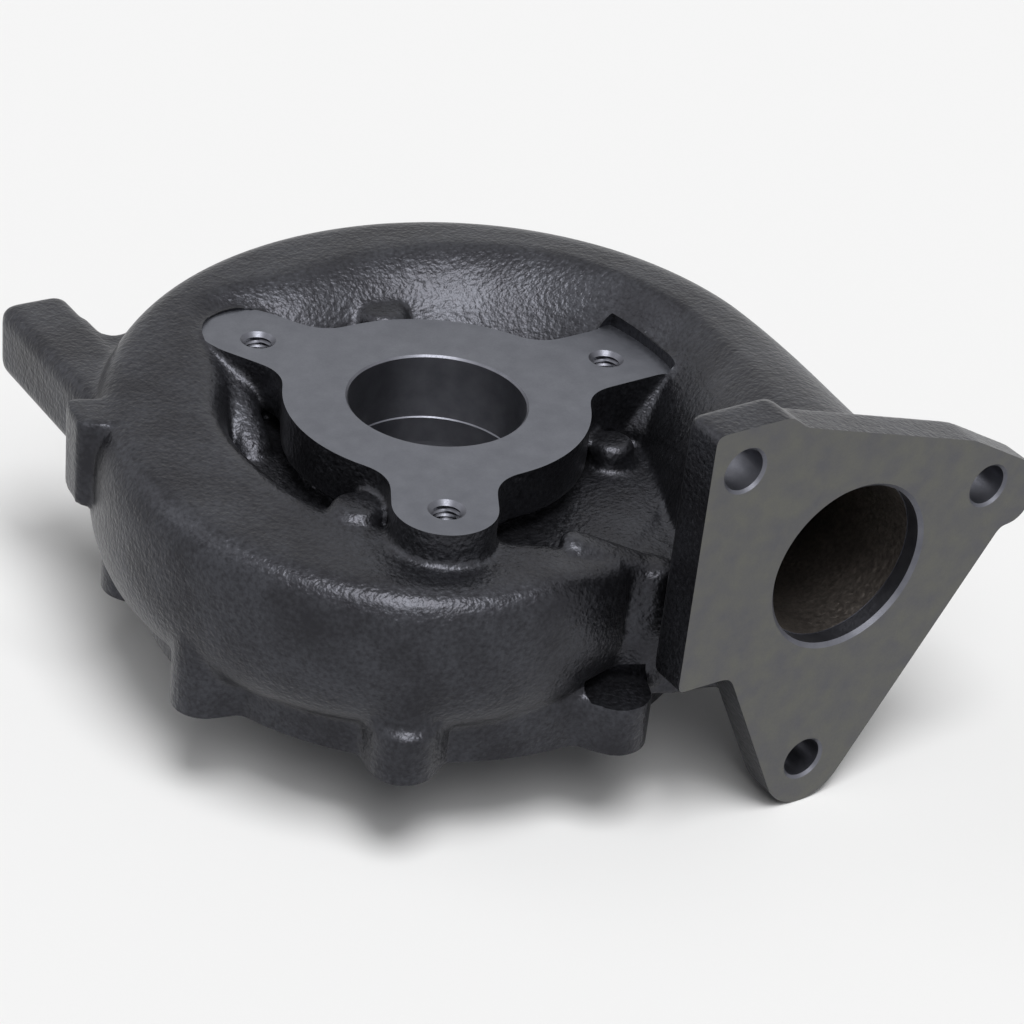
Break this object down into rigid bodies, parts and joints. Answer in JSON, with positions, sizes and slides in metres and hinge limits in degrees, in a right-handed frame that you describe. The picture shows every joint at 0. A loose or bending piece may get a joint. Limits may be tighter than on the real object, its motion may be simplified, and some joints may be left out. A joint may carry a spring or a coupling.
{
  "type": "turbocharger turbine housing",
  "caption": "Cast iron turbine housing of a turbocharger: a scroll with a triangular inlet flange, a lobed round outlet flange and an open base ring",
  "frame": {"origin": "on the turbine axis, in the plane of the base face that the centre housing bolts to", "axes": "+Z is the turbine axis, pointing out of the outlet flange; -Y is the outward normal of the inlet flange; +X is the side of the inlet duct"},
  "size_m": [0.2009, 0.1852, 0.1155],
  "materials": {
    "cast_iron": "as-cast, with machined flange faces and bores"
  },
  "bodies": {
    "root": {"turbine_housing": "cast_iron"}
  },
  "joints": []
}
